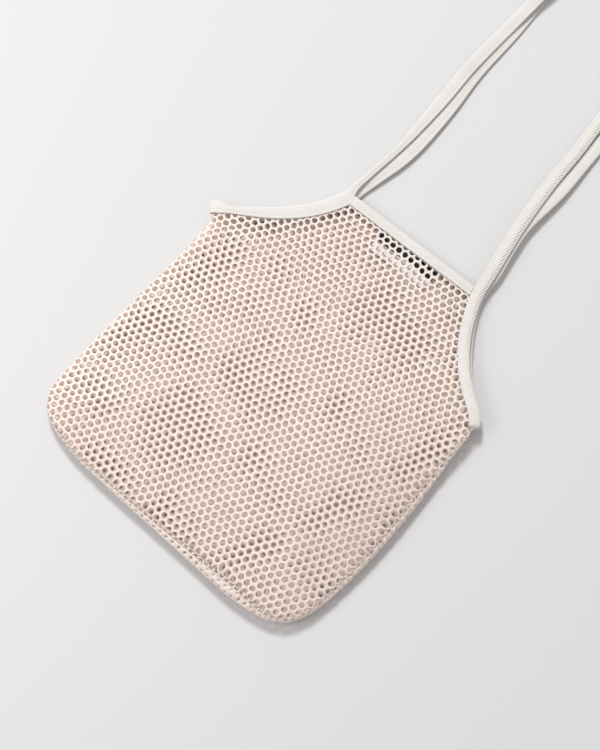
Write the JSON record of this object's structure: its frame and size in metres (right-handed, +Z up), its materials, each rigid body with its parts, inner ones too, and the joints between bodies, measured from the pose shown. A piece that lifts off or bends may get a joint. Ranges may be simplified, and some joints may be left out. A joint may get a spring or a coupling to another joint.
{
  "type": "string shopping bag",
  "caption": "Flat-lying net shopping bag with rounded lower corners, tape-bound top and armholes, and two long tape shoulder straps.",
  "frame": {"origin": "middle of the bag's outer box, on the surface that it lies on", "axes": "+X across the bag from its left side to its right as seen from above, +Y from the bottom of the bag towards the straps, +Z up from the surface, out of the bag's front"},
  "size_m": [0.383, 0.7422, 0.032],
  "materials": {
    "net_yarn": "matt blush-pink cotton yarn, knitted as an open honeycomb net",
    "twill_tape": "matt natural off-white cotton twill tape, folded lengthways",
    "label_cloth": "plain woven white label with a plain black band, no marks"
  },
  "bodies": {
    "root": {"net_front": "net_yarn", "net_back": "net_yarn", "top_binding_front": "twill_tape", "top_binding_back": "twill_tape", "armhole_strap_left": "twill_tape", "armhole_strap_right": "twill_tape", "label": "label_cloth"}
  },
  "joints": []
}
